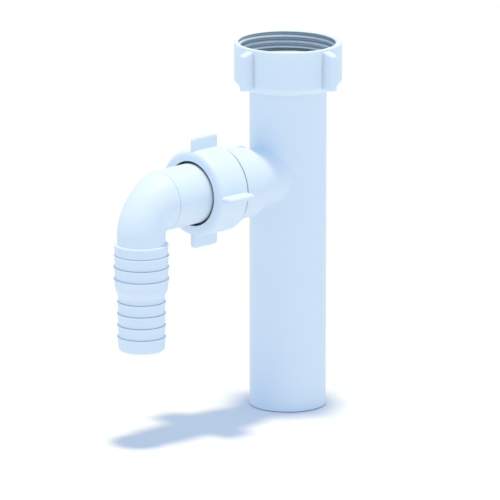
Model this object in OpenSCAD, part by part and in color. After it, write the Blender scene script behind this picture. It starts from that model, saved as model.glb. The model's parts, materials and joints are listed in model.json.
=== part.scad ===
// Washing machine waste branch: a straight 32 mm waste tube with a union nut on top,
// and a side branch that carries a swivelling hose tail under a winged nut.
// The origin is the centre of the tube's lower end, +Z runs up the tube and the branch points to -X.

/* [Waste tube] */
// Outside diameter of the plain tube
tube_od = 32; // [30:0.5:35]
// Wall thickness of the tube
tube_wall = 2; // [1.5:0.1:3]
// Height of the seat that carries the inlet washer, above the lower end
seat_z = 144.4; // [132:0.2:180]
// Width of the bevel round the tube's lower end
foot_bevel = 0.4; // [0.2:0.1:1]
// Length of the lower stretch that enters a socket
spigot_len = 60; // [30:1:75]
// How much the tube's radius grows above that stretch
body_step = 0.05; // [0.02:0.01:0.15]
// Length over which it grows
body_step_len = 3; // [2:0.5:6]

/* [Inlet seat and washer] */
// Radial clearance between the seat flange and the crests of the nut's thread
seat_clearance = 0.7; // [0.4:0.05:1]
// Height of the seat flange's cylindrical part
seat_t = 2.6; // [2:0.1:4]
// Height of the cone under the seat flange
seat_cone_h = 1.6; // [1:0.1:3]
// Radial clearance between the inlet washer and the crests of the nut's thread
inlet_washer_clearance = 0.6; // [0.4:0.05:1]
// Width of the step between the washer's hole and the tube's bore
inlet_washer_step = 0.3; // [0:0.1:0.8]
// Thickness of the inlet washer
inlet_washer_t = 3; // [2:0.1:4]

/* [Inlet nut] */
// Diameter over the crests of the nut's thread
inlet_bore_d = 39.6; // [38:0.1:44]
// Thickness of the nut's wall over those crests
inlet_nut_wall = 2.65; // [2.2:0.05:4]
// Height of the inlet nut
inlet_nut_h = 18.7; // [16:0.1:24]
// Depth of the relief below the thread, round the seat and washer
inlet_relief = 0.9; // [0.6:0.1:1.2]
// Free height between the washer and the first thread
inlet_thread_gap = 0.2; // [0:0.1:1]
// Thickness of the lip that pulls on the seat flange
inlet_lip_t = 3; // [2.4:0.1:4]
// Radial clearance between the lip and the tube
inlet_lip_clearance = 0.35; // [0.3:0.05:0.8]
// Free height between the lip and the cone of the seat
inlet_play = 0.3; // [0.2:0.05:0.6]
// Radius of the nut's upper outer edge
inlet_rim_r = 1.5; // [0.8:0.1:2]
// Width of the bevel at the mouth of the thread
inlet_mouth_bevel = 0.7; // [0.3:0.1:1]
// Width of the bevel round the nut's lower edge
inlet_foot_bevel_w = 1.9; // [1:0.1:2.4]
// Height of the bevel round the nut's lower edge
inlet_foot_bevel_h = 2.6; // [1.5:0.1:3.5]
// Number of grip ribs
rib_count = 4; // [3:1:8]
// Thickness of a grip rib
rib_t = 2.6; // [2:0.1:4]
// How far a grip rib stands out from the nut
rib_reach = 5.2; // [3:0.1:7]
// Radius of the fillet at the foot of a grip rib
rib_fillet = 1.3; // [0.6:0.1:2]
// Distance from the nut's lower end up to the ribs
rib_lift = 1.2; // [0.6:0.1:2.4]
// Distance from the nut's rim down to the ribs
rib_drop = 1; // [0.8:0.1:3]
// Radius of a rib's outer corners, seen from the side
rib_corner_r = 1.6; // [0.4:0.1:2]
// How much lower a rib's top is at its tip
rib_slope = 1.7; // [1:0.1:3]

/* [Side branch] */
// Height of the branch axis above the tube's lower end
branch_z = 100.2; // [85:0.1:110]
// Diameter of the waterway through the neck
neck_bore_d = 20; // [14:0.1:21]
// Wall thickness of the neck
neck_wall = 2.5; // [1.2:0.1:3]
// Radius of the fillet between the neck and the tube
saddle_r = 0.6; // [0.4:0.1:2]
// Distance from the tube's axis to the back of the collar
collar_back = 26; // [24:0.5:28]
// Distance from the tube's axis to the face of the collar
collar_face = 40; // [38:0.5:44]
// How far the collar's face lies inside the side nut's outline
collar_inset = 0.5; // [0.1:0.1:1]
// How much the collar's radius shrinks towards its back
collar_flare = 2.6; // [0.5:0.1:3]
// Length over which it shrinks, from the face
collar_flare_len = 6; // [3:0.5:8]
// Radius of the collar's back edge
collar_edge_r = 0.6; // [0.3:0.1:1.2]
// Radius of the hollow fillet between the collar and the neck
collar_root_r = 1; // [0.5:0.1:1.8]
// Wall thickness of the stub
stub_wall = 3; // [2:0.1:4]
// Length of the stub in front of the collar
stub_len = 7.9; // [5:0.1:9]
// Radial clearance between the stub and the crests of the side nut's thread
stub_clearance = 0.5; // [0.2:0.05:0.8]

/* [Side nut and washer] */
// Thickness of the side nut's skirt over its thread
side_nut_skirt = 2.6; // [2:0.1:3.5]
// Thickness of the side nut's front wall
side_nut_wall = 4.2; // [2:0.1:5]
// Radial clearance between the spigot and the nut's front hole
hole_clearance = 1.65; // [0.8:0.05:2.4]
// Gap between the side nut and the collar
side_nut_gap = 0.4; // [0.3:0.05:0.8]
// Radius of the side nut's front edge
side_nut_front_r = 1; // [0.5:0.1:3]
// Radius of the side nut's back edge
side_nut_back_r = 0.5; // [0.2:0.1:0.9]
// Number of wings
wing_count = 4; // [2:1:6]
// Thickness of a wing
wing_t = 2.5; // [2:0.1:4]
// How far a wing stands out from the side nut
wing_reach = 4.8; // [3:0.1:8]
// Distance from the nut's back face to the wings
wing_back_inset = 1.3; // [0.5:0.1:3]
// Distance from the nut's front face to the wings
wing_front_inset = 1.1; // [0.4:0.1:3]
// Radius of a wing's outer corners
wing_corner_r = 1.2; // [0.4:0.1:2]
// Thickness of the side washer
side_washer_t = 2; // [1.5:0.1:3]
// How far the side washer's edge lies inside the elbow's flange
side_washer_inset = 0.1; // [0:0.05:0.4]

/* [Hose elbow] */
// How far the flange reaches behind the side nut's front wall
flange_overlap = 0.9; // [0.6:0.1:2]
// Radial clearance between the flange and the crests of the side nut's thread
flange_clearance = 0.6; // [0.2:0.1:1]
// Thickness of that flange
elbow_flange_t = 2.4; // [2:0.1:4]
// Free space between two pieces along the branch
branch_play = 0.2; // [0.1:0.05:0.4]
// Diameter of the waterway through the spigot
spigot_bore_d = 19.6; // [18:0.1:22]
// Wall thickness of the spigot
spigot_wall = 2.55; // [1.8:0.05:3.5]
// Distance from the tube's axis to the groove before the bend
bend_start = 74.6; // [70:0.2:90]
// Depth and half width of that groove
seam_depth = 0.35; // [0.2:0.05:0.5]
// Inner radius of the bend
bend_inner_r = 0.3; // [0.2:0.1:1]
// Wall thickness at the lower end of the bend
bend_end_wall = 2.4; // [1.6:0.1:3]
// How much wider the waterway turns than the tail's radius
bore_turn_extra = 2; // [1:0.1:4]

/* [Hose tail] */
// Length of the thinner stretch below the bend
tail_neck_len = 3.5; // [2:0.1:8]
// Diameter of the lower steps at their top
lower_step_od = 19.6; // [18:0.05:22]
// How much wider the upper steps are, across the diameter
upper_step_extra = 2.75; // [1.5:0.05:4]
// Thickness of the tail's wall at the top of the lower steps
tail_wall = 2.2; // [1.6:0.1:3]
// How much a step narrows on the way down, across the diameter
step_taper = 0.55; // [0.3:0.05:0.8]
// How far the lip of a barb stands out, across the diameter
lip_rise = 0.65; // [0.4:0.05:1]
// Depth of the groove above a barb, across the diameter
groove_depth = 0.9; // [0.4:0.05:1.2]
// Distance from one barb to the next
barb_pitch = 4.94; // [4.4:0.02:6]
// Distance from the top ledge down to the first barb
first_barb = 4.7; // [4:0.1:6]
// Length of the upper stretch below its last lip
upper_last_step = 3.56; // [2:0.02:5]
// Number of barbs on the upper stretch
upper_barbs = 3; // [2:1:5]
// Distance from the shoulder down to the first barb of the lower stretch
lower_first_barb = 1.48; // [1:0.02:3]
// Number of barbs on the lower stretch
lower_barbs = 4; // [2:1:6]
// Height of the shoulder between the two stretches
shoulder_h = 4.7; // [3:0.1:6]
// Length of the last step, below the last lip
last_step = 5.8; // [4:0.1:8]
// Radius of the edge at the tail's open end
tail_end_r = 1.2; // [0.6:0.1:1.6]

/* [Hidden] */
$fn = 96;
plastic = [0.80, 0.89, 0.97];
rubber = [0.86, 0.89, 0.91];
round_steps = 64;
arc_steps = 5;
flare_steps = 6;
past = 1;
edge_r = 0.4;
spigot_root_r = 0.8;

// Heights on a barb, measured up and down from its lip: groove, crest and the slope back to the step
groove_top = 0.36;
groove_floor = 0.22;
crest_up = 0.08;
crest_down = 0.12;
crest_foot = 0.6;

tube_r = tube_od / 2;
tube_bore_r = tube_r - tube_wall;
body_r = tube_r + body_step;
cone_z = seat_z - seat_t - seat_cone_h;

inlet_nut_z = cone_z - inlet_play - inlet_lip_t;
inlet_rim_z = inlet_nut_z + inlet_nut_h;
inlet_lip_r = body_r + inlet_lip_clearance;
inlet_bore_r = inlet_bore_d / 2;
inlet_nut_r = inlet_bore_r + inlet_nut_wall;
seat_r = inlet_bore_r - seat_clearance;
inlet_thread_z = seat_z + inlet_washer_t + inlet_thread_gap;
rib_tip_r = inlet_nut_r + rib_reach;

stub_end = collar_face + stub_len;
washer_end = stub_end + side_washer_t;
flange_start = washer_end + branch_play;
flange_end = flange_start + elbow_flange_t;
side_nut_back = collar_face + side_nut_gap;
side_nut_front = flange_end + branch_play + side_nut_wall;

// Outwards from the spigot: the nut's hole, the flange behind it, the thread, and the stub inside that
spigot_r = spigot_bore_d / 2 + spigot_wall;
side_hole_r = spigot_r + hole_clearance;
flange_r = side_hole_r + flange_overlap;
side_bore_r = flange_r + flange_clearance;
side_nut_r = side_bore_r + side_nut_skirt;
stub_r = side_bore_r - stub_clearance;
stub_bore_r = stub_r - stub_wall;
collar_r = side_nut_r - collar_inset;
neck_bore_r = neck_bore_d / 2;
neck_r = neck_bore_r + neck_wall;

tail_bore_r = lower_step_od / 2 - tail_wall;
bend_end_r = tail_bore_r + bend_end_wall;
upper_step_od = lower_step_od + upper_step_extra;

// The bend turns about a point just outside its inner corner.
pivot_x = bend_start + seam_depth;
pivot_z = branch_z - spigot_r - bend_inner_r;
tail_x = pivot_x + bend_inner_r + bend_end_r;
// The waterway turns on a wider arc than the outside, which keeps the inner wall thick.
bore_turn_r = bend_end_r + bore_turn_extra;
bend_relief = 0.15;
ledge_z = pivot_z - tail_neck_len;
upper_lip_z = ledge_z - first_barb;
shoulder_top_z = upper_lip_z - (upper_barbs - 1) * barb_pitch - upper_last_step;
shoulder_end_z = shoulder_top_z - shoulder_h;
lower_lip_z = shoulder_end_z - lower_first_barb;
tail_end_z = lower_lip_z - (lower_barbs - 1) * barb_pitch - last_step;

// Points on an arc about c, from angle a to angle b
function arc(c, r, a, b, n = arc_steps) =
    [for (i = [0:n]) c + r * [cos(a + (b - a) * i / n), sin(a + (b - a) * i / n)]];

// A point on the curve that leaves a towards b and arrives at c
function bend_point(a, b, c, t) = (1 - t) * (1 - t) * a + 2 * t * (1 - t) * b + t * t * c;

// Triangles that join rings of n points, each ring to the next
function skin(rings, n) = [
    for (i = [0:rings - 2], j = [0:n - 1])
        each [[i * n + j, (i + 1) * n + j, i * n + (j + 1) % n],
              [i * n + (j + 1) % n, (i + 1) * n + j, (i + 1) * n + (j + 1) % n]]];

// Turns a shape made along +Z so that it lies along the branch.
module along_branch() {
    translate([0, 0, branch_z]) rotate([0, -90, 0]) children();
}

// The tube's outside, with its bevelled foot and the flange that carries the washer
module tube_outside() {
    rotate_extrude() polygon(concat(
        [[0, 0], [tube_r - foot_bevel, 0], [tube_r, foot_bevel], [tube_r, spigot_len]],
        [[body_r, spigot_len + body_step_len], [body_r, cone_z], [seat_r, cone_z + seat_cone_h]],
        arc([seat_r - edge_r, seat_z - edge_r], edge_r, 0, 90, 3),
        [[0, seat_z]]));
}

// Neck, collar and stub, as one turned shape along the branch
module branch_outside() {
    back_r = collar_r - collar_flare;
    waist = [back_r, collar_face - collar_flare_len];
    face_edge = [collar_r, collar_face - edge_r];
    neck_base = sqrt(pow(body_r, 2) - pow(neck_r, 2)) - past;
    rotate_extrude() polygon(concat(
        [[0, neck_base], [neck_r, neck_base]],
        arc([neck_r + collar_root_r, collar_back - collar_root_r], collar_root_r, 180, 90),
        arc([back_r - collar_edge_r, collar_back + collar_edge_r], collar_edge_r, -90, 0),
        [for (k = [0:flare_steps - 1])
            bend_point(waist, [back_r, (waist[1] + face_edge[1]) / 2], face_edge, k / flare_steps)],
        arc([collar_r - edge_r, collar_face - edge_r], edge_r, 0, 90, 3),
        [[stub_r, collar_face], [stub_r, stub_end - past], [stub_r - past, stub_end], [0, stub_end]]));
}

// The hollow fillet that follows the saddle line between neck and tube.
// Its section is swept round the neck, and its ends lie just inside both walls.
module saddle() {
    sink = 0.06;
    curve_steps = 8;
    inner_r = neck_r - past;
    foot_r = neck_r + saddle_r;
    function depth(rho, a) = sqrt(pow(body_r, 2) - pow(rho * sin(a), 2));
    function section(a) = concat(
        [for (k = [0:curve_steps])
            bend_point([foot_r, depth(foot_r, a) - sink], [neck_r, depth(neck_r, a)],
                [neck_r - sink, depth(neck_r, a) + saddle_r], k / curve_steps)],
        [[inner_r, depth(neck_r, a) + saddle_r], [inner_r, depth(foot_r, a) - past],
         [foot_r - past / 2, depth(foot_r, a) - past]]);
    count = curve_steps + 4;
    points = [
        for (i = [0:round_steps - 1]) let (a = 360 * i / round_steps)
            for (p = section(a)) [p[0] * cos(a), p[0] * sin(a), p[1]]];
    faces = [
        for (i = [0:round_steps - 1], j = [0:count - 1])
            let (m = (i + 1) % round_steps, k = (j + 1) % count)
                each [[i * count + j, i * count + k, m * count + j],
                      [m * count + j, i * count + k, m * count + k]]];
    polyhedron(points, faces, convexity = 4);
}

// The waterway from the tube out through the stub
module branch_bore() {
    step = stub_bore_r - neck_bore_r;
    rotate_extrude() polygon([
        [0, 0], [neck_bore_r, 0], [neck_bore_r, collar_back + past],
        [stub_bore_r, collar_back + past + step], [stub_bore_r, stub_end + past],
        [0, stub_end + past]]);
}

module branch_body() {
    color(plastic) difference() {
        union() {
            tube_outside();
            along_branch() branch_outside();
            along_branch() saddle();
        }
        translate([0, 0, -past]) cylinder(r = tube_bore_r, h = seat_z + 2 * past);
        along_branch() branch_bore();
    }
}

// One grip rib seen from above, with a fillet on each side of its foot
module rib_outline() {
    half = rib_t / 2;
    foot_x = sqrt(pow(inlet_nut_r + rib_fillet, 2) - pow(half + rib_fillet, 2));
    lean = asin((half + rib_fillet) / (inlet_nut_r + rib_fillet));
    upper = concat(
        arc([foot_x, half + rib_fillet], rib_fillet, 180 + lean, 270),
        arc([rib_tip_r - half, 0], half, 90, 0, 4));
    lower = [for (i = [len(upper) - 2:-1:0]) [upper[i][0], -upper[i][1]]];
    root_r = inlet_nut_r - past;
    polygon(concat([[root_r, half + rib_fillet]], upper, lower, [[root_r, -half - rib_fillet]]));
}

// The ribs' sides seen from the front: square below, sloping at the top
module rib_envelope() {
    inside_r = inlet_nut_r - past - edge_r;
    low = inlet_nut_z + rib_lift;
    high = inlet_rim_z - rib_drop;
    corner_x = rib_tip_r + edge_r - rib_corner_r;
    tilt = atan(rib_slope / rib_reach);
    rotate_extrude() polygon(concat(
        [[inside_r, low]],
        arc([corner_x, low + rib_corner_r], rib_corner_r, -90, 0),
        arc([corner_x, high - rib_slope - rib_corner_r], rib_corner_r, 0, 90 - tilt),
        [[inside_r, high]]));
}

module inlet_nut() {
    nut_r = inlet_nut_r;
    bore_r = inlet_bore_r;
    relief_r = bore_r + inlet_relief;
    color(plastic) difference() {
        union() {
            rotate_extrude() polygon(concat(
                [[0, inlet_nut_z], [nut_r - inlet_foot_bevel_w, inlet_nut_z],
                 [nut_r, inlet_nut_z + inlet_foot_bevel_h]],
                arc([nut_r - inlet_rim_r, inlet_rim_z - inlet_rim_r], inlet_rim_r, 0, 90),
                [[0, inlet_rim_z]]));
            intersection() {
                rib_envelope();
                for (i = [0:rib_count - 1])
                    rotate([0, 0, 360 * i / rib_count])
                        translate([0, 0, inlet_nut_z])
                            linear_extrude(inlet_nut_h) rib_outline();
            }
        }
        translate([0, 0, inlet_nut_z - past]) cylinder(r = inlet_lip_r, h = inlet_nut_h);
        rotate_extrude() polygon([
            [0, inlet_nut_z + inlet_lip_t], [relief_r, inlet_nut_z + inlet_lip_t],
            [relief_r, inlet_thread_z - relief_r + bore_r], [bore_r, inlet_thread_z],
            [bore_r, inlet_rim_z - inlet_mouth_bevel],
            [bore_r + inlet_mouth_bevel + past, inlet_rim_z + past], [0, inlet_rim_z + past]]);
    }
}

module inlet_washer() {
    color(rubber) translate([0, 0, seat_z]) difference() {
        cylinder(r = inlet_bore_r - inlet_washer_clearance, h = inlet_washer_t);
        translate([0, 0, -past])
            cylinder(r = tube_bore_r + inlet_washer_step, h = inlet_washer_t + 2 * past);
    }
}

// One wing of the side nut, flat, with its outer corners rounded
module wing() {
    out_r = side_nut_r + wing_reach;
    in_r = side_nut_r - past;
    back = side_nut_back + wing_back_inset;
    front = side_nut_front - wing_front_inset;
    r = wing_corner_r;
    translate([0, wing_t / 2, 0]) rotate([90, 0, 0]) linear_extrude(wing_t) polygon(concat(
        [[in_r, front], [in_r, back]],
        arc([out_r - r, back + r], r, -90, 0),
        arc([out_r - r, front - r], r, 0, 90)));
}

module side_nut() {
    nut_r = side_nut_r;
    color(plastic) along_branch() difference() {
        union() {
            rotate_extrude() polygon(concat(
                [[0, side_nut_back]],
                arc([nut_r - side_nut_back_r, side_nut_back + side_nut_back_r], side_nut_back_r, -90, 0, 3),
                arc([nut_r - side_nut_front_r, side_nut_front - side_nut_front_r], side_nut_front_r, 0, 90),
                [[0, side_nut_front]]));
            for (i = [0:wing_count - 1]) rotate([0, 0, 360 * i / wing_count]) wing();
        }
        translate([0, 0, side_nut_back - past])
            cylinder(r = side_bore_r, h = side_nut_front - side_nut_wall - side_nut_back + past);
        translate([0, 0, side_nut_back]) cylinder(r = side_hole_r, h = side_nut_front);
    }
}

module side_washer() {
    color(rubber) along_branch() translate([0, 0, stub_end]) difference() {
        cylinder(r = flange_r - side_washer_inset, h = side_washer_t);
        translate([0, 0, -past]) cylinder(r = stub_bore_r, h = side_washer_t + 2 * past);
    }
}

// Flange and spigot of the elbow, up to the groove before the bend
module spigot() {
    rotate_extrude() polygon(concat(
        [[0, flange_start], [flange_r, flange_start], [flange_r, flange_end]],
        arc([spigot_r + spigot_root_r, flange_end + spigot_root_r], spigot_root_r, 270, 180, 3),
        [[spigot_r, bend_start - seam_depth], [spigot_r - seam_depth, bend_start], [0, bend_start]]));
}

// The outside of the bend: rings turned about the pivot, that shrink from spigot to tail
module bend_shell() {
    turn_steps = 16;
    sink = 0.1;
    function ring(c, out, r) = [
        for (j = [0:round_steps - 1]) let (a = 360 * j / round_steps)
            c + r * cos(a) * out + [0, r * sin(a), 0]];
    function place(t) = let (
        r = spigot_r + (bend_end_r - spigot_r) * (0.5 - 0.5 * cos(180 * t)),
        out = [-sin(90 * t), 0, cos(90 * t)])
        ring([-pivot_x, 0, pivot_z] + (bend_inner_r + r) * out, out, r);
    points = concat(
        ring([-bend_start + seam_depth, 0, branch_z], [0, 0, 1], spigot_r - 2 * seam_depth - sink),
        [for (i = [0:turn_steps]) each place(i / turn_steps)],
        ring([-tail_x, 0, ledge_z - past], [-1, 0, 0], bend_end_r));
    rings = len(points) / round_steps;
    polyhedron(points, concat(
        skin(rings, round_steps),
        [[for (j = [0:round_steps - 1]) j]],
        [[for (j = [round_steps - 1:-1:0]) (rings - 1) * round_steps + j]]), convexity = 6);
}

// The half outline of one step of the tail, whose lip is at height z: end of the step above, groove and lip
function barb(z, d) = [
    [(d - step_taper) / 2, z + groove_top], [(d - groove_depth) / 2, z + groove_floor],
    [(d + lip_rise) / 2, z + crest_up], [(d + lip_rise) / 2, z - crest_down], [d / 2, z - crest_foot]];

// The stepped hose tail, from the ledge under the bend to its open end
module tail_outside() {
    top_r = upper_step_od / 2;
    low_r = (lower_step_od - step_taper) / 2;
    high_r = (upper_step_od - step_taper) / 2;
    mid_z = (shoulder_top_z + shoulder_end_z) / 2;
    translate([-tail_x, 0, 0]) rotate_extrude() polygon(concat(
        [[0, ledge_z]],
        arc([top_r - edge_r, ledge_z - edge_r], edge_r, 90, 0, 3),
        [for (i = [0:upper_barbs - 1]) each barb(upper_lip_z - i * barb_pitch, upper_step_od)],
        [for (k = [0:arc_steps]) bend_point([high_r, shoulder_top_z], [high_r, mid_z],
            [(high_r + low_r) / 2, mid_z], k / arc_steps)],
        [for (k = [1:arc_steps]) bend_point([(high_r + low_r) / 2, mid_z], [low_r, mid_z],
            [low_r, shoulder_end_z], k / arc_steps)],
        [for (i = [0:lower_barbs - 1]) each barb(lower_lip_z - i * barb_pitch, lower_step_od)],
        arc([low_r - tail_end_r, tail_end_z + tail_end_r], tail_end_r, 0, -90),
        [[0, tail_end_z]]));
}

// The waterway: straight through the spigot, round the bend and down the tail
module elbow_bore() {
    turn_x = tail_x - bore_turn_r;
    turn_z = branch_z - bore_turn_r;
    step = spigot_bore_d / 2 - tail_bore_r;
    along_branch() rotate_extrude() polygon([
        [0, flange_start - past], [spigot_bore_d / 2, flange_start - past],
        [spigot_bore_d / 2, turn_x - past - step], [tail_bore_r, turn_x - past],
        [tail_bore_r, turn_x + past], [0, turn_x + past]]);
    translate([-turn_x, 0, turn_z]) rotate([90, 0, 0]) rotate([0, 0, 90])
        rotate_extrude(angle = 90) translate([bore_turn_r, 0]) circle(r = tail_bore_r + bend_relief);
    translate([-tail_x, 0, tail_end_z - past])
        cylinder(r = tail_bore_r, h = turn_z - tail_end_z + 2 * past);
}

module hose_elbow() {
    color(plastic) difference() {
        union() {
            along_branch() spigot();
            bend_shell();
            tail_outside();
        }
        elbow_bore();
    }
}

branch_body();
inlet_nut();
inlet_washer();
side_nut();
side_washer();
hose_elbow();
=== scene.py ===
import json
import math
import bmesh
import bpy
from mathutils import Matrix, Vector


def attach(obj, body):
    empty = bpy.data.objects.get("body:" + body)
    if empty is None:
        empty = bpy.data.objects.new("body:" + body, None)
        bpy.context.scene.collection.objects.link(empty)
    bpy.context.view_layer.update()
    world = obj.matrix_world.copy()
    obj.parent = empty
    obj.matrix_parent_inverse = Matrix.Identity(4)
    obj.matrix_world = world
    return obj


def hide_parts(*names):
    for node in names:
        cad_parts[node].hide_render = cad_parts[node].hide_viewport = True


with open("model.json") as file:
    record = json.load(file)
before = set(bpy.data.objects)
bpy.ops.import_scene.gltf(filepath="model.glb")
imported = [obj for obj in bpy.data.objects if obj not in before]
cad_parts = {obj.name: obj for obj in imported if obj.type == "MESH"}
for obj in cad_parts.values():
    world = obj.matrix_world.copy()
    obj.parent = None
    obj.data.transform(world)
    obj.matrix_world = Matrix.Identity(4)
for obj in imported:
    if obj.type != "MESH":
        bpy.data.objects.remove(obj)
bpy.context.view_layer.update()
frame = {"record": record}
print("frame loaded")

mm = 0.001
tubeRadius = frame["record"]["mounts"][0]["dims"]["r_mm"]
branchHeight = 100.2  # the branch's axis above the tube's lower end
collarFace = 40.65    # from the tube's axis along the branch


# small helpers, all sizes in millimetres

def startClean():
    if bpy.context.object and bpy.context.object.mode == "EDIT":
        bpy.ops.object.mode_set(mode="OBJECT")
    bpy.ops.object.select_all(action="DESELECT")


def corner(radius, height, rounding=0.0):
    return (radius, height, rounding)


def roundedOutline(corners, closed, steps=5):
    # every corner with a rounding becomes a short arc
    points = []
    count = len(corners)
    for i, (r, z, rounding) in enumerate(corners):
        here = Vector((r, z))
        if rounding <= 0 or (not closed and i in (0, count - 1)):
            points.append((r, z))
            continue
        before = Vector(corners[i - 1][:2]) - here
        after = Vector(corners[(i + 1) % count][:2]) - here
        half = before.angle(after) / 2
        reach = rounding / math.tan(half)
        middle = here + (before.normalized() + after.normalized()).normalized() * rounding / math.sin(half)
        first = here + before.normalized() * reach - middle
        last = here + after.normalized() * reach - middle
        for k in range(steps + 1):
            spoke = first.slerp(last, k / steps).normalized() * rounding
            points.append(tuple(middle + spoke))
    if closed:
        points.append(points[0])
    return points


def ringAt(name, radius, centre, sides, alongBranch=False):
    startClean()
    turn = (0, math.radians(-90), 0) if alongBranch else (0, 0, 0)
    bpy.ops.mesh.primitive_circle_add(
        vertices=sides, radius=radius * mm, fill_type="NOTHING",
        location=[c * mm for c in centre], rotation=turn)
    piece = bpy.context.object
    piece.name = name
    piece.data.name = name
    bpy.ops.object.transform_apply(location=True, rotation=True, scale=True)
    bpy.ops.object.mode_set(mode="EDIT")
    bpy.ops.mesh.select_mode(type="VERT")
    bpy.ops.mesh.select_all(action="SELECT")
    return piece


def pullRing(move=(0, 0, 0), scale=(1, 1, 1), about=(0, 0, 0)):
    # one more ring: the selected edge loop is extruded, moved and scaled
    bpy.ops.mesh.extrude_region_move(TRANSFORM_OT_translate={"value": [m * mm for m in move]})
    if tuple(scale) != (1, 1, 1):
        bpy.ops.transform.resize(value=scale, center_override=[a * mm for a in about])


def drawPlan(name, levels):
    # a flat outline is extruded level by level, and each level's points are set in code
    startClean()
    bpy.ops.mesh.primitive_circle_add(vertices=len(levels[0]), radius=mm, fill_type="NGON")
    piece = bpy.context.object
    piece.name = name
    for vertex, point in zip(piece.data.vertices, levels[0]):
        vertex.co = Vector(point) * mm
    bpy.ops.object.mode_set(mode="EDIT")
    bpy.ops.mesh.select_mode(type="FACE")
    bpy.ops.mesh.select_all(action="SELECT")
    for below, level in zip(levels, levels[1:]):
        bpy.ops.mesh.extrude_region_move(TRANSFORM_OT_translate={"value": (0, 0, 0)})
        mesh = bmesh.from_edit_mesh(piece.data)
        for vertex in [v for v in mesh.verts if v.select]:
            nearest = min(range(len(below)), key=lambda k: (vertex.co - Vector(below[k]) * mm).length)
            vertex.co = Vector(level[nearest]) * mm
        bmesh.update_edit_mesh(piece.data)
    return piece


def closeMesh():
    bpy.ops.mesh.select_all(action="SELECT")
    bpy.ops.mesh.remove_doubles(threshold=0.002 * mm)
    bpy.ops.mesh.normals_make_consistent(inside=False)
    bpy.ops.mesh.select_all(action="DESELECT")
    bpy.ops.object.mode_set(mode="OBJECT")


def turnedPiece(name, outline, sides=96):
    # a ring pulled along an outline of (radius, height) points
    radius, height = outline[0]
    piece = ringAt(name, radius, (0, 0, height), sides)
    for nextRadius, nextHeight in outline[1:]:
        grow = nextRadius / radius
        pullRing((0, 0, nextHeight - height), (grow, grow, 1), (0, 0, nextHeight))
        radius, height = nextRadius, nextHeight
    closeMesh()
    return piece


def layAlongBranch(piece):
    # a piece made along +Z now points along the branch, to -X
    startClean()
    piece.select_set(True)
    bpy.context.view_layer.objects.active = piece
    piece.rotation_euler = (0, math.radians(-90), 0)
    piece.location = (0, 0, branchHeight * mm)
    bpy.ops.object.transform_apply(location=True, rotation=True, scale=True)


def smoothPiece(piece, angle=30):
    startClean()
    piece.select_set(True)
    bpy.context.view_layer.objects.active = piece
    bpy.ops.object.shade_smooth_by_angle(angle=math.radians(angle))


def combine(piece, other, operation):
    # the other mesh is added to the piece or cut out of it, and goes
    startClean()
    bpy.context.view_layer.objects.active = piece
    step = piece.modifiers.new("step", "BOOLEAN")
    step.operation = operation
    step.solver = "EXACT"
    step.object = other
    bpy.ops.object.modifier_apply(modifier=step.name)
    bpy.data.objects.remove(other)


def selectFaces(piece, wanted):
    # selects the faces whose middle, in millimetres, passes the test
    bpy.ops.object.mode_set(mode="OBJECT")
    for vertex in piece.data.vertices:
        vertex.select = False
    for edge in piece.data.edges:
        edge.select = False
    for face in piece.data.polygons:
        face.select = bool(wanted(face.center / mm, face.normal))
    bpy.ops.object.mode_set(mode="EDIT")
    bpy.ops.mesh.select_mode(type="FACE")


def selectEdges(piece, wanted):
    # the same for edges, by their two ends
    bpy.ops.object.mode_set(mode="OBJECT")
    mesh = piece.data
    for face in mesh.polygons:
        face.select = False
    for vertex in mesh.vertices:
        vertex.select = False
    for edge in mesh.edges:
        a, b = [mesh.vertices[i].co / mm for i in edge.vertices]
        edge.select = bool(wanted(a, b))
    bpy.ops.object.mode_set(mode="EDIT")
    bpy.ops.mesh.select_mode(type="EDGE")


def softenEdges(piece, wanted, width, segments):
    selectEdges(piece, wanted)
    bpy.ops.mesh.bevel(offset=width * mm, segments=segments, affect="EDGES")


def copyRound(count):
    # the whole mesh in hand is copied evenly round the Z axis
    bpy.ops.mesh.select_all(action="SELECT")
    turn = 360 / count
    bpy.ops.mesh.spin(
        steps=count - 1, angle=math.radians(360 - turn), dupli=True, center=(0, 0, 0), axis=(0, 0, 1))
    bpy.ops.object.mode_set(mode="OBJECT")


# finishes

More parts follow.
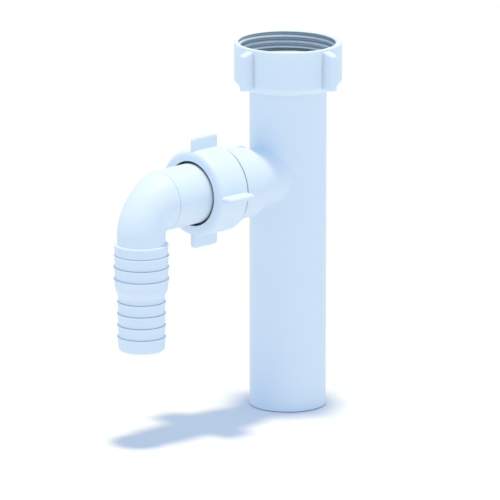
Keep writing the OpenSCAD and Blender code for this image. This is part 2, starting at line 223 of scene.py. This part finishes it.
def satinPlastic(name, look):
    material = bpy.data.materials.new(name)
    material.use_nodes = True
    nodes = material.node_tree.nodes
    links = material.node_tree.links
    shader = nodes["Principled BSDF"]
    shader.inputs["IOR"].default_value = 1.49
    shader.inputs["Subsurface Weight"].default_value = look["translucence"]
    shader.inputs["Subsurface Radius"].default_value = (0.7, 0.85, 1.0)
    shader.inputs["Subsurface Scale"].default_value = 1.2 * mm
    place = nodes.new("ShaderNodeTexCoord")

    cloud = nodes.new("ShaderNodeTexNoise")  # slow drift of the moulding's tone
    cloud.inputs["Scale"].default_value = 1 / (look["driftSize"] * mm)
    cloud.inputs["Detail"].default_value = 2.0
    links.new(place.outputs["Object"], cloud.inputs["Vector"])
    tone = nodes.new("ShaderNodeMix")
    tone.data_type = "RGBA"
    tone.inputs["A"].default_value = (*look["deep"], 1)
    tone.inputs["B"].default_value = (*look["pale"], 1)
    links.new(cloud.outputs["Fac"], tone.inputs["Factor"])

    paintedShadeProbe = nodes.new("ShaderNodeAmbientOcclusion")  # painted shade: the colour darkens in grooves, gaps and creases, by how closed in they are
    paintedShadeProbe.samples = 12
    paintedShadeProbe.inputs["Distance"].default_value = look["paintedShadeReach"] * mm
    shade = nodes.new("ShaderNodeMapRange")
    shade.inputs["From Min"].default_value = look["paintedShadeEnd"]
    shade.inputs["From Max"].default_value = look["paintedShadeStart"]
    links.new(paintedShadeProbe.outputs["AO"], shade.inputs["Value"])
    paintedShadeColour = nodes.new("ShaderNodeMix")
    paintedShadeColour.data_type = "RGBA"
    paintedShadeColour.inputs["A"].default_value = (*look["paintedShadeTone"], 1)
    paintedShadeColour.inputs["B"].default_value = (1, 1, 1, 1)
    links.new(shade.outputs["Result"], paintedShadeColour.inputs["Factor"])
    # the moulding's tone times the painted shade
    toneWithPaintedShade = nodes.new("ShaderNodeMix")
    toneWithPaintedShade.data_type = "RGBA"
    toneWithPaintedShade.blend_type = "MULTIPLY"
    toneWithPaintedShade.inputs["Factor"].default_value = 1.0
    links.new(tone.outputs["Result"], toneWithPaintedShade.inputs["A"])
    links.new(paintedShadeColour.outputs["Result"], toneWithPaintedShade.inputs["B"])
    links.new(toneWithPaintedShade.outputs["Result"], shader.inputs["Base Color"])

    grain = nodes.new("ShaderNodeTexNoise")  # the fine spark finish of the mould
    grain.inputs["Scale"].default_value = 1 / (look["grainSize"] * mm)
    grain.inputs["Detail"].default_value = 3.0
    links.new(place.outputs["Object"], grain.inputs["Vector"])
    rough = nodes.new("ShaderNodeMapRange")
    rough.inputs["To Min"].default_value = look["roughness"] - 0.05
    rough.inputs["To Max"].default_value = look["roughness"] + 0.05
    links.new(grain.outputs["Fac"], rough.inputs["Value"])
    links.new(rough.outputs["Result"], shader.inputs["Roughness"])
    bump = nodes.new("ShaderNodeBump")
    bump.inputs["Strength"].default_value = look["grainStrength"]
    bump.inputs["Distance"].default_value = look["grainDepth"] * mm
    links.new(grain.outputs["Fac"], bump.inputs["Height"])
    links.new(bump.outputs["Normal"], shader.inputs["Normal"])
    return material


plasticLook = {
    "deep": (0.745, 0.838, 0.95),
    "pale": (0.765, 0.852, 0.96),
    "driftSize": 22.0,
    "grainSize": 0.35,
    "grainDepth": 0.012,
    "grainStrength": 0.5,
    "roughness": 0.57,
    "translucence": 0.06,
    # painted shade in nooks: how far it looks, where it starts and ends, and its dark colour
    "paintedShadeReach": 3.0,
    "paintedShadeStart": 0.45,   # how open a spot is where the painted shade starts
    "paintedShadeEnd": 0.05,     # and where the painted shade is darkest
    "paintedShadeTone": (0.2, 0.19, 0.185),
}
nutLook = {**plasticLook, "deep": (0.75, 0.843, 0.952), "pale": (0.77, 0.856, 0.962), "roughness": 0.52}
# the nut's thread: a stronger, darker painted shade in its grooves
threadLook = {**nutLook, "paintedShadeReach": 2.2, "paintedShadeStart": 0.85, "paintedShadeEnd": 0.3, "paintedShadeTone": (0.16, 0.135, 0.115)}
washerLook = {**plasticLook, "deep": (0.72, 0.81, 0.89), "pale": (0.75, 0.83, 0.905), "roughness": 0.66,
              "grainDepth": 0.02, "translucence": 0.0}

pipePlastic = satinPlastic("pipePlastic", plasticLook)
nutPlastic = satinPlastic("nutPlastic", nutLook)
threadPlastic = satinPlastic("threadPlastic", threadLook)  # the same plastic, with a stronger painted shade in the thread grooves
washerRubber = satinPlastic("washerRubber", washerLook)
print("finishes made")


def settle(piece, material, body, node):
    piece.data.materials.clear()
    piece.data.materials.append(material)
    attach(piece, body)
    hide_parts(node)
    print(piece.name, len(piece.data.polygons), "faces")


# waste tube with its side branch

tube = {
    "sides": 96,
    "bore": 14.0,
    "footBevel": 0.4,
    "plainEnd": 60.0,      # from here the tube's radius grows by the step
    "stepLength": 3.0,
    "step": 0.05,
    "coneStart": 140.2,
    "seatRadius": 19.1,
    "seatCone": 1.6,
    "seatTop": 144.4,
    "edge": 0.4,
}
branch = {
    "windowColumns": 34,   # width of the opening in the tube's wall, in faces
    "windowRows": 14,
    "windowHalf": 16.5,
    "bridgeCuts": 4,
    "neckRadius": 12.5,
    "neckBore": 10.0,
    "fillet": 0.6,
    "filletSteps": 5,
    "collarBack": 26.0,
    "waistRadius": 15.0,
    "waistEnd": 34.5,
    "collarRadius": 17.6,
    "backEdge": 0.6,
    "rootFillet": 1.0,
    "stubRadius": 15.0,
    "stubEnd": 47.9,
    "stubBore": 12.0,
}


bodyRadius = tubeRadius + tube["step"]


def windowRowHeights():
    rows = branch["windowRows"]
    half = branch["windowHalf"]
    return [branchHeight - half + 2 * half * k / rows for k in range(rows + 1)]


def tubeShell():
    rows = windowRowHeights()
    edge = tube["edge"]
    outside = roundedOutline([
        corner(tube["bore"], 0), corner(tubeRadius - tube["footBevel"], 0),
        corner(tubeRadius, tube["footBevel"])], closed=False)
    outside += [(tubeRadius, 30.0), (tubeRadius, tube["plainEnd"])]
    outside += [(bodyRadius, tube["plainEnd"] + tube["stepLength"])]
    outside += [(bodyRadius, z) for z in rows]
    outside += [(bodyRadius, 128.0)]
    seat = roundedOutline([
        corner(bodyRadius, 132.0), corner(bodyRadius, tube["coneStart"], edge),
        corner(tube["seatRadius"], tube["coneStart"] + tube["seatCone"], edge),
        corner(tube["seatRadius"], tube["seatTop"], edge),
        corner(tube["bore"], tube["seatTop"])], closed=False)
    inside = [(tube["bore"], 128.0)] + [(tube["bore"], z) for z in reversed(rows)]
    inside += [(tube["bore"], 58.0), (tube["bore"], 30.0), (tube["bore"], 0.0)]
    return turnedPiece("tubeAndBranch", outside + seat + inside, tube["sides"])


def openWindows(piece):
    # takes out the wall on the branch's side, on both faces of the tube
    reach = 180 * branch["windowColumns"] / tube["sides"]

    def inWindow(middle, normal):
        angle = abs(math.degrees(math.atan2(middle.y, -middle.x)))
        return angle < reach and abs(middle.z - branchHeight) < branch["windowHalf"]

    selectFaces(piece, inWindow)
    bpy.ops.mesh.delete(type="FACE")
    bpy.ops.mesh.select_all(action="DESELECT")
    bpy.ops.object.mode_set(mode="OBJECT")


def wallDistance(wall, radius, angle):
    # how far out along the branch a ring of this radius meets the round wall
    return math.sqrt(wall * wall - (radius * math.sin(angle)) ** 2)


def shapeRing(piece, place):
    # sets the selected ring point by point from its angle round the branch
    mesh = bmesh.from_edit_mesh(piece.data)
    for vertex in mesh.verts:
        if vertex.select:
            y, z = vertex.co.y / mm, vertex.co.z / mm - branchHeight
            angle = math.atan2(y, z)
            radius, out = place(angle)
            vertex.co = Vector((-out, radius * math.sin(angle), radius * math.cos(angle) + branchHeight)) * mm
    bmesh.update_edit_mesh(piece.data)


def flareOutline():
    # the collar's hollow curve from its face back to the narrow waist
    face = Vector((branch["collarRadius"], collarFace - 0.4))
    waist = Vector((branch["waistRadius"], branch["waistEnd"]))
    bend = Vector((branch["waistRadius"], (face.y + waist.y) / 2))
    shares = [k / 8 for k in range(8, -1, -1)]
    return [waist * (1 - t) ** 2 + bend * 2 * t * (1 - t) + face * t * t for t in shares]


def branchShell():
    # from the waterway's mouth in the tube, out round the stub and back to the tube's outside
    sides = tube["sides"]
    neck = branch["neckRadius"]
    fillet = branch["fillet"]
    bore = branch["neckBore"]
    bodyOutline = roundedOutline([
        corner(bore, 15.5), corner(bore, 27.0, 0.8), corner(branch["stubBore"], 29.0, 0.8),
        corner(branch["stubBore"], branch["stubEnd"], 0.3),
        corner(branch["stubRadius"], branch["stubEnd"], 0.8),
        corner(branch["stubRadius"], collarFace, 0.3),
        corner(branch["collarRadius"], collarFace, 0.3)]
        + [corner(p.x, p.y) for p in flareOutline()] + [
        corner(branch["waistRadius"], branch["collarBack"], branch["backEdge"]),
        corner(neck, branch["collarBack"], branch["rootFillet"]), corner(neck, 19.5)], closed=False, steps=6)
    piece = ringAt("branchShell", bore, (-14.0, 0, branchHeight), sides, alongBranch=True)
    shapeRing(piece, lambda a: (bore, wallDistance(tube["bore"], bore, a)))
    for radius, out in bodyOutline:
        pullRing()
        shapeRing(piece, lambda a: (radius, out))
    foot = neck + fillet

    def filletPoint(angle, t):
        start = Vector((neck, wallDistance(bodyRadius, neck, angle) + fillet))
        crease = Vector((neck, wallDistance(bodyRadius, neck, angle)))
        end = Vector((foot, wallDistance(bodyRadius, foot, angle)))
        point = start * (1 - t) ** 2 + crease * 2 * t * (1 - t) + end * t * t
        return point.x, point.y

    for k in range(branch["filletSteps"] + 1):
        share = k / branch["filletSteps"]
        pullRing()
        shapeRing(piece, lambda a: filletPoint(a, share))
    bpy.ops.mesh.select_all(action="DESELECT")
    bpy.ops.object.mode_set(mode="OBJECT")
    return piece


def joinWall(piece, wall):
    # bridges a window's edge to the ring inside it and lays the new faces on the round wall
    def onOpening(a, b):
        for p in (a, b):
            if abs(math.hypot(p.x, p.y) - wall) > 0.01 or p.x > 0:
                return False
        return True

    selectEdges(piece, onOpening)
    mesh = bmesh.from_edit_mesh(piece.data)
    for edge in mesh.edges:
        if edge.select and not edge.is_boundary:
            edge.select_set(False)
    bmesh.update_edit_mesh(piece.data)
    bpy.ops.mesh.bridge_edge_loops(number_cuts=branch["bridgeCuts"])
    bpy.ops.object.mode_set(mode="OBJECT")
    for vertex in piece.data.vertices:
        if vertex.select:
            x, y = vertex.co.x, vertex.co.y
            reach = math.hypot(x, y)
            if x < 0 and abs(reach / mm - wall) < 1.2:
                vertex.co.x = x * wall * mm / reach
                vertex.co.y = y * wall * mm / reach
    bpy.ops.object.mode_set(mode="EDIT")
    bpy.ops.mesh.select_all(action="DESELECT")
    bpy.ops.object.mode_set(mode="OBJECT")


def makeBranchBody():
    piece = tubeShell()
    openWindows(piece)
    shell = branchShell()
    startClean()
    shell.select_set(True)
    piece.select_set(True)
    bpy.context.view_layer.objects.active = piece
    bpy.ops.object.join()
    joinWall(piece, bodyRadius)
    joinWall(piece, tube["bore"])
    bpy.ops.object.mode_set(mode="EDIT")
    closeMesh()
    smoothPiece(piece, 35)
    settle(piece, pipePlastic, "branch", "branch_body")


makeBranchBody()


# union nut with its ribs and thread

unionNut = {
    "sides": 120,
    "bottom": 136.9,
    "top": 155.6,
    "radius": 22.45,
    "footWidth": 1.9,
    "footHeight": 2.6,
    "rimRound": 0.55,
    "mouthBevel": 0.5,
    "crestRadius": 19.8,
    "rootRadius": 20.95,
    "crestFlat": 0.35,
    "rootFlat": 0.7,
    "pitch": 2.309,
    "threadTurns": 5,
    "firstGroove": 147.33,   # height of the lowest groove where it starts, at +X
    "reliefRadius": 20.7,
    "threadStart": 147.6,
    "lipTop": 139.9,
    "lipRadius": 16.4,
}
gripRib = {
    "count": 4,
    "low": 138.6,
    "high": 154.9,
    "slope": 1.3,            # how much lower its top is at the tip
    "reach": 5.2,
    "thick": 3.6,
    "fillet": 1.3,
    "footSink": 0.7,         # how far its fillet runs in under the wall
    "root": 20.9,
    "topRound": 1.1,
    "footRound": 0.4,
}


def nutShell():
    n = unionNut
    mouth = n["crestRadius"] + n["mouthBevel"]
    return turnedPiece("unionNut", roundedOutline([
        corner(n["lipRadius"], n["bottom"], 0.3),
        corner(n["radius"] - n["footWidth"], n["bottom"], 0.3),
        corner(n["radius"], n["bottom"] + n["footHeight"], 0.5),
        corner(n["radius"], n["top"], n["rimRound"]),
        corner(mouth, n["top"], 0.15),
        corner(n["crestRadius"], n["top"] - n["mouthBevel"], 0.1),
        corner(n["crestRadius"], n["threadStart"]),
        corner(n["reliefRadius"], n["threadStart"] - n["reliefRadius"] + n["crestRadius"]),
        corner(n["reliefRadius"], n["lipTop"], 0.3),
        corner(n["lipRadius"], n["lipTop"], 0.2)], closed=True, steps=4), n["sides"])


def ribPlan(inset):
    # the rib seen from above: filleted at its foot, half round at its tip
    wall, half, fillet = unionNut["radius"], gripRib["thick"] / 2 - inset, gripRib["fillet"] + inset
    tip = wall + gripRib["reach"] - inset
    foot = half + fillet + 0.7
    footOut = math.sqrt((wall - gripRib["footSink"]) ** 2 - foot ** 2)
    sideOut = math.sqrt(wall ** 2 - half ** 2)
    return roundedOutline([
        corner(gripRib["root"], -foot), corner(footOut, -foot), corner(sideOut, -half, fillet),
        corner(tip, -half, half - 0.01), corner(tip, half, half - 0.01),
        corner(sideOut, half, fillet), corner(footOut, foot), corner(gripRib["root"], foot)],
        closed=True, steps=7)[:-1]


def ribSet():
    # one rib, drawn up from its plan with rounded ends and copied round the nut
    levels = []
    for k in range(4):
        turn = math.radians(30 * k)
        inset = gripRib["footRound"] * (1 - math.sin(turn))
        height = gripRib["low"] + gripRib["footRound"] * (1 - math.cos(turn))
        levels.append([(out, across, height) for out, across in ribPlan(inset)])
    for k in range(7):
        turn = math.radians(15 * k)
        inset = gripRib["topRound"] * (1 - math.cos(turn))
        height = gripRib["high"] - gripRib["topRound"] * (1 - math.sin(turn))
        fall = gripRib["slope"] / gripRib["reach"]
        levels.append([(out, across, height - fall * max(out - unionNut["radius"], 0))
                       for out, across in ribPlan(inset)])
    rib = drawPlan("gripRibs", levels)
    copyRound(gripRib["count"])
    return rib


def threadCutter():
    # one groove section, swept up the bore by a screw
    n = unionNut
    startClean()
    bpy.ops.mesh.primitive_plane_add(size=2 * mm)
    cutter = bpy.context.object
    cutter.name = "threadCutter"
    crestHalf, rootHalf = (n["pitch"] - n["crestFlat"]) / 2, n["rootFlat"] / 2
    slope = (crestHalf - rootHalf) / (n["rootRadius"] - n["crestRadius"])
    over = 0.12
    inner, innerHalf = n["crestRadius"] - over, crestHalf + slope * over
    outer, start = n["rootRadius"], n["firstGroove"]
    section = [(inner, start - innerHalf), (outer, start - rootHalf),
               (inner, start + innerHalf), (outer, start + rootHalf)]
    for vertex, (r, z) in zip(cutter.data.vertices, section):
        vertex.co = Vector((r, 0, z)) * mm
    bpy.ops.object.mode_set(mode="EDIT")
    bpy.ops.mesh.select_all(action="SELECT")
    bpy.ops.mesh.delete(type="ONLY_FACE")
    bpy.ops.object.mode_set(mode="OBJECT")
    screw = cutter.modifiers.new("screw", "SCREW")
    screw.axis = "Z"
    screw.angle = math.radians(360)
    screw.screw_offset = n["pitch"] * mm
    screw.iterations = n["threadTurns"]
    screw.steps = n["sides"]
    screw.render_steps = n["sides"]
    bpy.ops.object.modifier_apply(modifier=screw.name)
    bpy.ops.object.mode_set(mode="EDIT")
    bpy.ops.mesh.select_mode(type="EDGE")
    bpy.ops.mesh.select_all(action="DESELECT")
    bpy.ops.mesh.select_non_manifold(extend=False, use_boundary=True)
    bpy.ops.mesh.fill_holes(sides=4)
    bpy.ops.mesh.select_all(action="SELECT")
    bpy.ops.mesh.normals_make_consistent(inside=False)
    bpy.ops.object.mode_set(mode="OBJECT")
    return cutter


def makeUnionNut():
    piece = nutShell()
    combine(piece, ribSet(), "UNION")
    combine(piece, threadCutter(), "DIFFERENCE")
    smoothPiece(piece, 32)
    settle(piece, threadPlastic, "union_nut", "inlet_nut")


makeUnionNut()

# flat washers

unionWasher = {"outer": 19.2, "inner": 14.3, "bottom": 144.4, "top": 147.4, "edge": 0.3}
stubWasher = {"outer": 14.8, "inner": 12.0, "bottom": 47.9, "top": 49.9, "edge": 0.3}


def washerPiece(name, w):
    edge = w["edge"]
    return turnedPiece(name, roundedOutline([
        corner(w["inner"], w["bottom"], edge), corner(w["outer"], w["bottom"], edge),
        corner(w["outer"], w["top"], edge), corner(w["inner"], w["top"], edge)], closed=True, steps=3))


topWasher = washerPiece("unionWasher", unionWasher)
smoothPiece(topWasher)
settle(topWasher, washerRubber, "branch", "inlet_washer")
sideWasher = washerPiece("stubWasher", stubWasher)
layAlongBranch(sideWasher)
smoothPiece(sideWasher)
settle(sideWasher, washerRubber, "branch", "side_washer")

# winged nut on the branch

wingedNut = {
    "sides": 96,
    "back": 41.4,
    "front": 56.9,
    "radius": 18.1,
    "frontRound": 2.3,
    "backRound": 0.5,
    "hole": 13.55,
    "holeEdge": 0.3,
    "bore": 15.5,
    "wall": 4.2,
}
wing = {
    "count": 4,
    "back": 42.1,
    "front": 56.3,
    "reach": 5.4,
    "thick": 2.5,
    "root": 16.6,
    "cornerRound": 1.8,
    "edgeRound": 1.0,
}


def wingSet():
    # one flat wing, drawn outwards from its root with soft edges, and copied round the nut
    w = wing
    tip, half = wingedNut["radius"] + w["reach"], w["thick"] / 2
    levels = []
    for k in range(-1, 9):
        turn = math.radians(90 * max(k, 0) / 8)
        drop = w["cornerRound"] * (1 - math.sin(turn))
        ends = w["cornerRound"] * (1 - math.cos(turn))
        rise = max(w["edgeRound"] - drop, 0)
        across = half - w["edgeRound"] + math.sqrt(w["edgeRound"] ** 2 - rise ** 2)
        height = w["root"] if k < 0 else tip - drop
        low, high = w["back"] + ends, w["front"] - ends
        plan = roundedOutline([
            corner(-across, low, across * 0.9), corner(across, low, across * 0.9),
            corner(across, high, across * 0.9), corner(-across, high, across * 0.9)],
            closed=True, steps=5)[:-1]
        levels.append([(height, side, along) for side, along in plan])
    piece = drawPlan("nutWings", levels)
    copyRound(w["count"])
    return piece


def makeWingedNut():
    n = wingedNut
    piece = turnedPiece("wingedNut", roundedOutline([
        corner(n["bore"], n["back"], 0.3), corner(n["radius"], n["back"], n["backRound"]),
        corner(n["radius"], n["front"], n["frontRound"]),
        corner(n["hole"], n["front"], n["holeEdge"]), corner(n["hole"], n["front"] - n["wall"], 0.3),
        corner(n["bore"], n["front"] - n["wall"], 0.3)], closed=True, steps=6), n["sides"])
    combine(piece, wingSet(), "UNION")
    layAlongBranch(piece)
    smoothPiece(piece)
    settle(piece, nutPlastic, "winged_nut", "side_nut")


makeWingedNut()

# elbow with its stepped hose tail

elbow = {
    "sides": 96,
    "flangeStart": 50.1,
    "flangeEnd": 52.5,
    "flangeRadius": 14.9,
    "spigotRadius": 12.5,
    "rootFillet": 0.8,
    "seamAt": 74.75,
    "seamDepth": 0.45,
    "seamHalf": 0.25,
    "bendInner": 0.25,
    "bendEndRadius": 10.0,
    "bendSteps": 30,
    "bendHurry": 3.0,      # how early the bend narrows: 1 is evenly
    "neckLength": 3.5,
    "spigotBore": 9.8,
    "tailBore": 7.6,
    "boreTurn": 12.0,
}
hoseTail = {
    "upperStep": 22.35,
    "lowerStep": 19.6,
    "stepTaper": 0.55,
    "lipRise": 0.65,
    "grooveDepth": 0.9,
    "barbPitch": 4.94,
    "firstBarb": 4.7,
    "upperLast": 3.56,
    "upperBarbs": 3,
    "lowerFirst": 1.48,
    "lowerBarbs": 4,
    "shoulder": 4.7,
    "lastStep": 5.8,
    "endRound": 1.2,
}


def barbOutline(z, across):
    t = hoseTail
    return [
        ((across - t["stepTaper"]) / 2, z + 0.36), ((across - t["grooveDepth"]) / 2, z + 0.22),
        ((across + t["lipRise"]) / 2, z + 0.08), ((across + t["lipRise"]) / 2, z - 0.12),
        (across / 2, z - 0.6)]


def tailOutline(ledge):
    t = hoseTail
    top = t["upperStep"] / 2
    high = (t["upperStep"] - t["stepTaper"]) / 2
    low = (t["lowerStep"] - t["stepTaper"]) / 2
    points = [(top - 0.4 + 0.4 * math.sin(a), ledge - 0.4 + 0.4 * math.cos(a))
              for a in [math.radians(30 * k) for k in range(4)]]
    z = ledge - t["firstBarb"]
    for k in range(t["upperBarbs"]):
        points += barbOutline(z - k * t["barbPitch"], t["upperStep"])
    shoulderTop = z - (t["upperBarbs"] - 1) * t["barbPitch"] - t["upperLast"]
    for k in range(11):
        share = k / 10
        ease = share * share * (3 - 2 * share)
        points.append((high + (low - high) * ease, shoulderTop - t["shoulder"] * share))
    z = shoulderTop - t["shoulder"] - t["lowerFirst"]
    for k in range(t["lowerBarbs"]):
        points += barbOutline(z - k * t["barbPitch"], t["lowerStep"])
    end = z - (t["lowerBarbs"] - 1) * t["barbPitch"] - t["lastStep"]
    for k in range(6):
        a = math.radians(18 * k)
        points.append((low - t["endRound"] * (1 - math.cos(a)), end + t["endRound"] * (1 - math.sin(a))))
    return points, end


def makeElbow():
    e = elbow
    axis = branchHeight
    piece = ringAt("hoseElbow", e["spigotBore"], (-e["flangeStart"], 0, axis), e["sides"], alongBranch=True)
    radius, out = e["spigotBore"], e["flangeStart"]

    def toRing(nextRadius, nextOut):
        nonlocal radius, out
        grow = nextRadius / radius
        pullRing((out - nextOut, 0, 0), (1, grow, grow), (-nextOut, 0, axis))
        radius, out = nextRadius, nextOut

    spigot = e["spigotRadius"]
    depth, half = e["seamDepth"], e["seamHalf"]
    straight = roundedOutline([
        corner(e["spigotBore"], e["flangeStart"]), corner(e["flangeRadius"], e["flangeStart"], 0.3),
        corner(e["flangeRadius"], e["flangeEnd"], 0.3), corner(spigot, e["flangeEnd"], e["rootFillet"]),
        corner(spigot, 60.0), corner(spigot, e["seamAt"] - half), corner(spigot - depth, e["seamAt"])],
        closed=False)
    for nextRadius, nextOut in straight[1:]:
        toRing(nextRadius, nextOut)
    toRing(spigot, e["seamAt"] + half)

    # the bend: each ring is turned about the pivot, then shrunk towards its inner point
    pivot = Vector((-(e["seamAt"] + half), 0, axis - spigot - e["bendInner"]))
    for k in range(1, e["bendSteps"] + 1):
        share = k / e["bendSteps"]
        nextRadius = e["bendEndRadius"] + (spigot - e["bendEndRadius"]) * (1 - share) ** e["bendHurry"]
        pullRing()
        bpy.ops.transform.rotate(
            value=math.radians(90 / e["bendSteps"]), orient_axis="Y", center_override=pivot * mm)
        turn = math.radians(90 * share)
        inner = pivot + Vector((-math.sin(turn), 0, math.cos(turn))) * e["bendInner"]
        grow = nextRadius / radius
        bpy.ops.transform.resize(value=(grow, grow, grow), center_override=inner * mm)
        radius = nextRadius
    tailX = pivot.x - e["bendInner"] - e["bendEndRadius"]
    height = pivot.z

    def downRing(nextRadius, nextHeight):
        nonlocal radius, height
        grow = nextRadius / radius
        pullRing((0, 0, nextHeight - height), (grow, grow, 1), (tailX, 0, nextHeight))
        radius, height = nextRadius, nextHeight

    ledge = height - e["neckLength"]
    downRing(radius, ledge)
    points, end = tailOutline(ledge)
    for nextRadius, nextHeight in points:
        downRing(nextRadius, nextHeight)
    downRing(e["tailBore"] + 0.3, end)
    downRing(e["tailBore"], end + 0.3)
    turnPivot = Vector((tailX + e["boreTurn"], 0, axis - e["boreTurn"]))
    downRing(e["tailBore"], turnPivot.z)
    for k in range(1, e["bendSteps"] + 1):
        pullRing()
        bpy.ops.transform.rotate(
            value=math.radians(-90 / e["bendSteps"]), orient_axis="Y", center_override=turnPivot * mm)
    out = -turnPivot.x
    toRing(e["tailBore"], out - 1.0)
    toRing(e["spigotBore"], out - 3.2)
    toRing(e["spigotBore"], e["flangeStart"])
    closeMesh()
    smoothPiece(piece, 30)
    settle(piece, pipePlastic, "swivel_elbow", "hose_elbow")


makeElbow()
print("pieces made")

# floor, light and camera

studio = {
    "floorSize": 60.0,
    "floorColour": (0.83, 0.82, 0.865),
    "skyColour": (0.588, 0.745, 0.93),
    "skyStrength": 1.0,
    "sunColour": (1.0, 0.83, 0.42),
    "sunStrength": 1.97,
    "sunAngle": 5.5,
    "sunTilt": (1.0, 0.0),  # degrees the light leans back and to the right
}


def makeFloor():
    startClean()
    bpy.ops.mesh.primitive_plane_add(size=studio["floorSize"], location=(0, 0, 0))
    floor = bpy.context.object
    floor.name = "studioFloor"
    material = bpy.data.materials.new("floorPaint")
    material.use_nodes = True
    shader = material.node_tree.nodes["Principled BSDF"]
    shader.inputs["Base Color"].default_value = (*studio["floorColour"], 1)
    shader.inputs["Roughness"].default_value = 0.9
    shader.inputs["Specular IOR Level"].default_value = 0.0
    floor.data.materials.append(material)


def makeLight():
    world = bpy.data.worlds.new("studioSky")
    bpy.context.scene.world = world
    world.use_nodes = True
    nodes = world.node_tree.nodes
    links = world.node_tree.links
    sky = nodes["Background"]
    sky.inputs["Color"].default_value = (*studio["skyColour"], 1)
    sky.inputs["Strength"].default_value = studio["skyStrength"]
    backdrop = nodes.new("ShaderNodeBackground")  # what the camera sees behind the floor
    backdrop.inputs["Color"].default_value = (1, 1, 1, 1)
    path = nodes.new("ShaderNodeLightPath")
    mix = nodes.new("ShaderNodeMixShader")
    links.new(path.outputs["Is Camera Ray"], mix.inputs["Fac"])
    links.new(sky.outputs["Background"], mix.inputs[1])
    links.new(backdrop.outputs["Background"], mix.inputs[2])
    links.new(mix.outputs["Shader"], nodes["World Output"].inputs["Surface"])

    sun = bpy.data.objects.new("overheadLight", bpy.data.lights.new("overheadLight", "SUN"))
    sun.data.color = studio["sunColour"]
    sun.data.energy = studio["sunStrength"]
    sun.data.angle = math.radians(studio["sunAngle"])
    lean = Vector((math.tan(math.radians(studio["sunTilt"][0])), math.tan(math.radians(studio["sunTilt"][1])), 1))
    sun.rotation_mode = "QUATERNION"
    sun.rotation_quaternion = lean.to_track_quat("Z", "Y")
    bpy.context.scene.collection.objects.link(sun)


view = {
    "azimuth": -44.93,
    "elevation": 14.06,
    "distance": 3.0,
    "side": -15.817,   # how far the view's middle lies from the origin, to the right and up
    "up": 64.2,
    "lens": 513.5,
}


def makeCamera():
    a, e = math.radians(view["azimuth"]), math.radians(view["elevation"])
    back = Vector((math.sin(a) * math.cos(e), -math.cos(a) * math.cos(e), math.sin(e)))
    right = Vector((math.cos(a), math.sin(a), 0))
    up = back.cross(right)
    camera = bpy.data.objects.new("photoCamera", bpy.data.cameras.new("photoCamera"))
    camera.data.lens = view["lens"]
    camera.data.clip_start = 0.1
    camera.data.clip_end = 100
    camera.location = back * view["distance"] + right * view["side"] * mm + up * view["up"] * mm
    camera.rotation_mode = "QUATERNION"
    camera.rotation_quaternion = back.to_track_quat("Z", "Y")
    bpy.context.scene.collection.objects.link(camera)
    bpy.context.scene.camera = camera


makeFloor()
makeLight()
makeCamera()
bpy.context.scene.view_settings.view_transform = "Standard"
print("floor, light and camera set")
